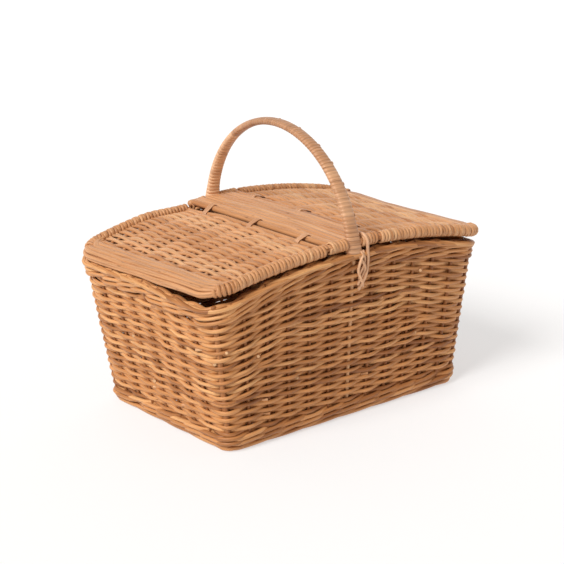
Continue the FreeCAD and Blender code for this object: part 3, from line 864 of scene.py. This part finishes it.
def lid_turn(side, x, direction, pitch):
    """The weaver's turn round the border before it comes back."""
    share = np.linspace(0, 1, 16)[1:-1]
    angle = math.pi - share * TURN
    outward = np.stack([np.zeros_like(angle), direction * np.cos(angle), np.sin(angle)], axis=1)
    centre = lid_points(side, x + pitch * share, direction * BORDER_Y)
    return centre + outward * (LID_CORE + WRAP_THICKNESS), outward


def lid_weave(side):
    """Weavers that cross the lid and wrap its long borders in one run, in several rods."""
    rods = Rods()
    first_x = LID_START + LID_ROD_RADIUS + 3.6 * MM
    last_x = LID_END - 21.5 * MM
    count = int((last_x - first_x) / LID_WEAVER_PITCH) + 1
    pitch = (last_x - first_x) / (count - 1)
    path, outward, widths = [], [], []
    left_in_rod = 3
    for number in range(count):
        x = first_x + number * pitch
        direction = (-1) ** number
        across, width = lid_pass(side, number, x, direction)
        path.append(across)
        outward.append(np.tile(UP, (len(across), 1)))
        widths.append(width)
        wraps = x < WRAP_END
        if wraps:
            turn, turn_out = lid_turn(side, x, direction, pitch)
            path.append(turn)
            outward.append(turn_out)
            widths.append(np.full(len(turn), WRAP_STRAND))
        left_in_rod -= 1
        if left_in_rod == 0 or not wraps or number == count - 1:
            radius = np.concatenate(widths) * rng.uniform(0.95, 1.05)
            rods.add(np.vstack(path), np.vstack(outward), radius, flatten=LID_FLATTEN)
            path, outward, widths = [], [], []
            left_in_rod = int(rng.integers(2, 5))
    return rods


def lid_border(side):
    """Second strand that fills the wrapping of both long borders and goes on round the corners."""
    rods = Rods()
    x, y, out, travel = hoop_line(600)
    keep = travel < HOOP_CORNERS[0] + WRAP_REACH[side]
    for edge in (-1, 1):
        line = lid_points(side, x[keep], -edge * y[keep])
        line[:2, 0] -= side * 1.0 * MM
        outward = np.stack([side * out[keep, 0], -edge * out[keep, 1], np.zeros(keep.sum())], axis=1)
        coil(rods, line, outward, LID_CORE + WRAP_THICKNESS * 0.95, LID_WEAVER_PITCH, tones=7)
    return rods


# Rods of a lid's end: how far outside its hoop each lies, how far above, and its half width.
LID_END_BUNDLE = (
    (3.4 * MM, 4.0 * MM, 4.4 * MM), (-3.0 * MM, 4.9 * MM, 4.9 * MM), (-10.4 * MM, 4.8 * MM, 5.0 * MM),
    (-17.4 * MM, 3.8 * MM, 4.8 * MM), (6.9 * MM, 0.4 * MM, 3.2 * MM), (6.3 * MM, -3.2 * MM, 3.0 * MM),
    (2.2 * MM, -5.8 * MM, 3.0 * MM),
)
# Rods further inside than this start before the corner.
LID_END_INSIDE = -8 * MM
LID_END_TAPER = 34 * MM
LID_END_THICKNESS = 2.9 * MM
# Share of those heights that the rods of each lid keep.
LID_END_LIFT = {-1: 1.0, 1: 0.75}


def lid_end_rods(side):
    """Smooth rods bundled along the lid's end and round its corners."""
    rods = Rods(sides=9)
    x, y, out, travel = hoop_line(260)
    for number, (outside, lift, wide) in enumerate(LID_END_BUNDLE):
        inner = outside < LID_END_INSIDE
        start = -4 * MM if inner else WRAP_REACH[side] - 12 * MM
        begin = HOOP_CORNERS[0] + start - rng.uniform(-4, 4) * MM
        finish = HOOP_CORNERS[3] - start + rng.uniform(-4, 4) * MM
        keep = (travel > begin) & (travel < finish)
        here = travel[keep]
        ends = smooth(np.minimum(here - begin, finish - here) / LID_END_TAPER)
        held = 0.55 if inner else 0.6
        shift = outside * (held + (1 - held) * ends) + 0.6 * MM * waver(here, 0.15, number + 600)
        rise = lift * LID_END_LIFT[side] * (0.7 + 0.3 * ends) + 0.5 * MM * waver(here, 0.12, number + 640)
        points = lid_points(side, x[keep] + out[keep, 0] * shift, y[keep] + out[keep, 1] * shift, rise)
        thick = wide * (0.7 + 0.3 * ends) * (1 + 0.06 * waver(here, 0.1, number + 680))
        rods.add(points, UP, thick, flatten=LID_END_THICKNESS / wide)
    return rods


TIE_PLACES = (-105 * MM, 0.0, 105 * MM)
TIE_TURNS = 4.5
TIE_STRAND = 1.3 * MM
TIE_HALF_WIDTH = 5.0 * MM


def lid_ties(side):
    """Split willow wound round the lid's inner rod and the bridge's edge rod."""
    rods = Rods(sides=6)
    pin = np.array([side * HINGE_X, HINGE_Z])
    reach = EDGE_RADIUS + 1.15 * MM
    for y in TIE_PLACES:
        lid_rod = np.array([side * LID_START, float(lid_height(side, LID_START, y))])
        axis = (lid_rod - pin) / np.linalg.norm(lid_rod - pin)
        normal = np.array([-axis[1], axis[0]])
        angle = np.linspace(0, TIE_TURNS * TURN, int(TIE_TURNS * TURN_SAMPLES))
        radial = axis * np.cos(angle)[:, None] + normal * np.sin(angle)[:, None]
        blend = smooth((np.cos(angle)[:, None] + 0.35) / 0.7)
        plan = pin * (1 - blend) + lid_rod * blend + radial * reach
        across = y + np.linspace(-TIE_HALF_WIDTH, TIE_HALF_WIDTH, len(angle))
        path = np.stack([plan[:, 0], across, plan[:, 1]], axis=1)
        outward = np.stack([radial[:, 0], np.zeros(len(angle)), radial[:, 1]], axis=1)
        rods.add(path, outward, TIE_STRAND, flatten=0.55, tone=0.6)
    return rods


# -------- material

# Scales of the textures in a rod's grain, first across it both ways and then along it.
STREAK_SCALE = (420, 420, 16)
PATCH_SCALE = (40, 40, 9)
KNOT_SCALE = (120, 120, 30)
TONE_DRIFT = 0.9
# Ramps: where each colour lies, and the colour.
STREAK_TINTS = ((0.30, (0.62, 0.55, 0.48)), (0.52, (1.0, 1.0, 1.0)), (0.75, (1.16, 1.13, 1.08)))
KNOT_TINTS = ((0.05, (0.45, 0.36, 0.28)), (0.16, (1.0, 1.0, 1.0)))
CUT_COLOUR = (0.68, 0.42, 0.22, 1.0)
WOVEN_TONES = (
    # The darkest stop is deepened as painted shade for the stakes; weavers whose random tone comes near 0
    # take it as their own colour.
    (0.00, (0.30, 0.108, 0.028)),
    (0.25, (0.46, 0.192, 0.060)),
    (0.50, (0.55, 0.245, 0.082)),
    (0.75, (0.61, 0.290, 0.110)),
    (1.00, (0.70, 0.370, 0.150)),
)
ROD_TONES = (
    (0.00, (0.47, 0.208, 0.080)),
    (0.40, (0.57, 0.282, 0.124)),
    (0.75, (0.61, 0.318, 0.152)),
    (1.00, (0.67, 0.385, 0.195)),
)
WRAP_TONES = (
    (0.00, (0.41, 0.198, 0.092)),
    (0.50, (0.53, 0.275, 0.143)),
    (1.00, (0.80, 0.490, 0.290)),
)


def node(tree, kind, **settings):
    made = tree.nodes.new(kind)
    for name, value in settings.items():
        setattr(made, name, value)
    return made


def ramp(tree, stops):
    made = node(tree, "ShaderNodeValToRGB")
    elements = made.color_ramp.elements
    while len(elements) < len(stops):
        elements.new(0.5)
    for element, (position, colour) in zip(elements, stops):
        element.position = position
        element.color = (*colour, 1.0)
    return made


def grain_texture(tree, kind, grain, scale, detail):
    """A noise or cell texture read in a rod's own grain, with its scale across and along the rod."""
    stretch = node(tree, "ShaderNodeMapping")
    stretch.inputs["Scale"].default_value = scale
    tree.links.new(grain.outputs["Vector"], stretch.inputs["Vector"])
    texture = node(tree, kind)
    texture.inputs["Scale"].default_value = 1.0
    texture.inputs["Detail"].default_value = detail
    tree.links.new(stretch.outputs["Vector"], texture.inputs["Vector"])
    return texture


def tinted(tree, colour, value, stops, strength):
    """The colour multiplied by a ramp over a texture's value."""
    shade = ramp(tree, stops)
    tree.links.new(value, shade.inputs["Fac"])
    mix = node(tree, "ShaderNodeMix", data_type="RGBA", blend_type="MULTIPLY")
    mix.inputs["Factor"].default_value = strength
    tree.links.new(colour, mix.inputs[6])
    tree.links.new(shade.outputs["Color"], mix.inputs[7])
    return mix.outputs[2]


def willow(name, tones, roughness, sheen, grain_depth):
    """Peeled willow: a tone for each rod, streaks along it, knots and cut ends."""
    material = bpy.data.materials.new(name)
    material.use_nodes = True
    tree = material.node_tree
    link = tree.links.new
    shader = tree.nodes["Principled BSDF"]
    grain = node(tree, "ShaderNodeAttribute", attribute_name="grain")
    tone = node(tree, "ShaderNodeAttribute", attribute_name="tone")
    cut = node(tree, "ShaderNodeAttribute", attribute_name="cut")
    streak = grain_texture(tree, "ShaderNodeTexNoise", grain, STREAK_SCALE, 4.0)
    patch = grain_texture(tree, "ShaderNodeTexNoise", grain, PATCH_SCALE, 2.0)
    knot = grain_texture(tree, "ShaderNodeTexVoronoi", grain, KNOT_SCALE, 0.0)

    # The rod's own tone drifts slowly from one end to the other.
    drift = node(tree, "ShaderNodeMath", operation="MULTIPLY_ADD")
    link(patch.outputs["Fac"], drift.inputs[0])
    drift.inputs[1].default_value = TONE_DRIFT
    drift.inputs[2].default_value = -TONE_DRIFT / 2
    tone_here = node(tree, "ShaderNodeMath", operation="ADD", use_clamp=True)
    link(tone.outputs["Fac"], tone_here.inputs[0])
    link(drift.outputs[0], tone_here.inputs[1])
    colour = ramp(tree, tones)
    link(tone_here.outputs[0], colour.inputs["Fac"])
    streaked = tinted(tree, colour.outputs["Color"], streak.outputs["Fac"], STREAK_TINTS, 0.75)
    knotted = tinted(tree, streaked, knot.outputs["Distance"], KNOT_TINTS, 0.8)

    ended = node(tree, "ShaderNodeMix", data_type="RGBA")
    link(cut.outputs["Fac"], ended.inputs["Factor"])
    link(knotted, ended.inputs[6])
    ended.inputs[7].default_value = CUT_COLOUR
    link(ended.outputs[2], shader.inputs["Base Color"])

    rough = node(tree, "ShaderNodeMapRange")
    rough.inputs["To Min"].default_value = roughness - 0.08
    rough.inputs["To Max"].default_value = roughness + 0.12
    link(streak.outputs["Fac"], rough.inputs["Value"])
    link(rough.outputs["Result"], shader.inputs["Roughness"])
    shader.inputs["Specular IOR Level"].default_value = 0.45
    shader.inputs["Sheen Weight"].default_value = sheen

    bump = node(tree, "ShaderNodeBump")
    bump.inputs["Strength"].default_value = 0.45
    bump.inputs["Distance"].default_value = grain_depth
    link(streak.outputs["Fac"], bump.inputs["Height"])
    link(bump.outputs["Normal"], shader.inputs["Normal"])
    return material


# -------- stage


def look_at(location, target, roll=0.0):
    """Angles that turn a camera or lamp at location towards target."""
    direction = Vector(target) - Vector(location)
    turn = direction.to_track_quat("-Z", "Y").to_matrix() @ Matrix.Rotation(roll, 3, "Z")
    return turn.to_euler()


VIEW_AZIMUTH = math.radians(-37.54)
VIEW_ELEVATION = math.radians(17.62)
VIEW_ROLL = math.radians(-1.65)
VIEW_DISTANCE = 2.5473
VIEW_TARGET = np.array([0.0077, 0.0079, 0.1562])
LENS = 115.7
KEY_PLACE = (-2.25, -0.42, 2.1)
# The floor glows a little, as a white studio floor does under its own lights.
FLOOR_FINISH = {
    "Base Color": (0.46, 0.46, 0.46, 1),
    "Roughness": 0.9,
    "Specular IOR Level": 0.1,
    "Emission Color": (0.94, 0.96, 0.99, 1),
    "Emission Strength": 0.53,
}
FLOOR_HALF = 7.0
FLOOR_BEHIND = 3.0
BEND_RADIUS = 1.5
BACKDROP_HEIGHT = 5.0


def backdrop():
    """Pale floor that curves up behind the basket, seen from the camera."""
    away = np.array([-math.sin(VIEW_AZIMUTH), math.cos(VIEW_AZIMUTH), 0.0])
    across = np.array([away[1], -away[0], 0.0])
    bend = np.linspace(0, math.pi / 2, 25)
    wall = FLOOR_BEHIND + BEND_RADIUS
    reach = np.concatenate([[-FLOOR_HALF], FLOOR_BEHIND + BEND_RADIUS * np.sin(bend), [wall]])
    height = np.concatenate([[0.0], BEND_RADIUS * (1 - np.cos(bend)), [BACKDROP_HEIGHT]])
    points = [tuple(away * r + across * side + UP * h)
              for r, h in zip(reach, height) for side in (-FLOOR_HALF, FLOOR_HALF)]
    faces = [(2 * i, 2 * i + 1, 2 * i + 3, 2 * i + 2) for i in range(len(reach) - 1)]
    mesh = bpy.data.meshes.new("stage_floor")
    mesh.from_pydata(points, [], faces, shade_flat=False)
    ground = bpy.data.objects.new("stage_floor", mesh)
    bpy.context.scene.collection.objects.link(ground)
    pale = bpy.data.materials.new("pale_floor")
    pale.use_nodes = True
    shader = pale.node_tree.nodes["Principled BSDF"]
    for socket, value in FLOOR_FINISH.items():
        shader.inputs[socket].default_value = value
    mesh.materials.append(pale)


def stage():
    """Pale floor and backdrop, soft light from the upper left, and the camera."""
    scene = bpy.context.scene
    backdrop()
    world = bpy.data.worlds.new("studio")
    world.use_nodes = True
    background = world.node_tree.nodes["Background"]
    background.inputs["Color"].default_value = (1.0, 0.87, 0.72, 1)
    background.inputs["Strength"].default_value = 0.46
    scene.world = world
    sun = bpy.data.lights.new("key", "SUN")
    sun.energy = 2.9
    sun.angle = math.radians(28)
    sun.color = (1.0, 0.99, 0.98)
    key = bpy.data.objects.new("key", sun)
    key.rotation_euler = look_at(KEY_PLACE, (0, 0, 0))
    scene.collection.objects.link(key)
    scene.view_settings.view_transform = "Standard"

    level = math.cos(VIEW_ELEVATION)
    back = np.array([math.sin(VIEW_AZIMUTH) * level, -math.cos(VIEW_AZIMUTH) * level,
                     math.sin(VIEW_ELEVATION)])
    data = bpy.data.cameras.new("camera")
    data.sensor_width = 36.0
    data.lens = LENS
    camera = bpy.data.objects.new("camera", data)
    camera.location = VIEW_TARGET + back * VIEW_DISTANCE
    camera.rotation_euler = look_at(camera.location, VIEW_TARGET, VIEW_ROLL)
    scene.collection.objects.link(camera)
    scene.camera = camera


# -------- the whole basket


def build():
    woven = willow("willow_weave", WOVEN_TONES, 0.50, 0.05, 0.4 * MM)
    rod = willow("willow_rod", ROD_TONES, 0.46, 0.05, 0.3 * MM)
    skein = willow("willow_skein", WRAP_TONES, 0.42, 0.08, 0.25 * MM)

    foot().piece("foot_rods", "basket", "woven_willow", woven, "foot_border")
    floor_weave().piece("floor_rods", "basket", "woven_willow", woven, "floor_weave", "floor_sticks")
    bottom_wale().piece("bottom_wale_rods", "basket", "woven_willow", woven, "bottom_wale")
    lower, upper = wall_weave()
    lower.piece("lower_wall_rods", "basket", "woven_willow", woven, "front_wall_weave", "left_wall_weave")
    upper.piece("upper_wall_rods", "basket", "woven_willow", woven, "back_wall_weave", "right_wall_weave")
    top_wale().piece("top_wale_rods", "basket", "woven_willow", woven, "top_wale")
    stakes().piece("upright_stakes", "basket", "willow_rod", woven, "front_stakes", "back_stakes",
                   "left_stakes", "right_stakes", "corner_posts")
    rim_border().piece("rim_border_rods", "basket", "woven_willow", woven, "rim_border")
    cut_ends().piece("cut_rod_ends", "basket", "woven_willow", rod)
    handle_wrap().piece("handle_skein", "basket", "split_willow_wrap", skein, "handle_wrap")
    handle_legs().piece("handle_legs", "basket", "willow_rod", rod, "handle_bow", "handle_pegs")
    bridge_rods().piece("bridge_top_rods", "basket", "willow_rod", rod, "bridge_long_rods")
    bridge_edges().piece("bridge_edge_rods", "basket", "willow_rod", rod, "left_hinge_rod", "right_hinge_rod")
    bridge_cross().piece("bridge_cross_sticks", "basket", "willow_rod", rod, "bridge_cross_rods")
    for side, name in ((-1, "front"), (1, "back")):
        bridge_end(side).piece("bridge_%s_coil" % name, "basket", "split_willow_wrap", rod,
                               "bridge_%s_wrap" % name, "bridge_%s_rod" % name)
        lashing(side).piece("%s_lashing_strands" % name, "basket", "split_willow_wrap", skein,
                            "%s_handle_lashing" % name)
    for side, name in ((-1, "left_lid"), (1, "right_lid")):
        lid_frame(side).piece(name + "_frame", name, "willow_rod", rod, name + "_hoop", name + "_inner_rod",
                              name + "_ribs")
        lid_weave(side).piece(name + "_weavers", name, "woven_willow", rod, name + "_weave")
        lid_border(side).piece(name + "_wrapping", name, "split_willow_wrap", rod, name + "_front_border",
                               name + "_back_border")
        lid_end_rods(side).piece(name + "_end_rods", name, "willow_rod", rod, name + "_end_border")
        lid_ties(side).piece(name + "_ties", name, "split_willow_wrap", skein, name + "_hinge_loops")


build()
stage()
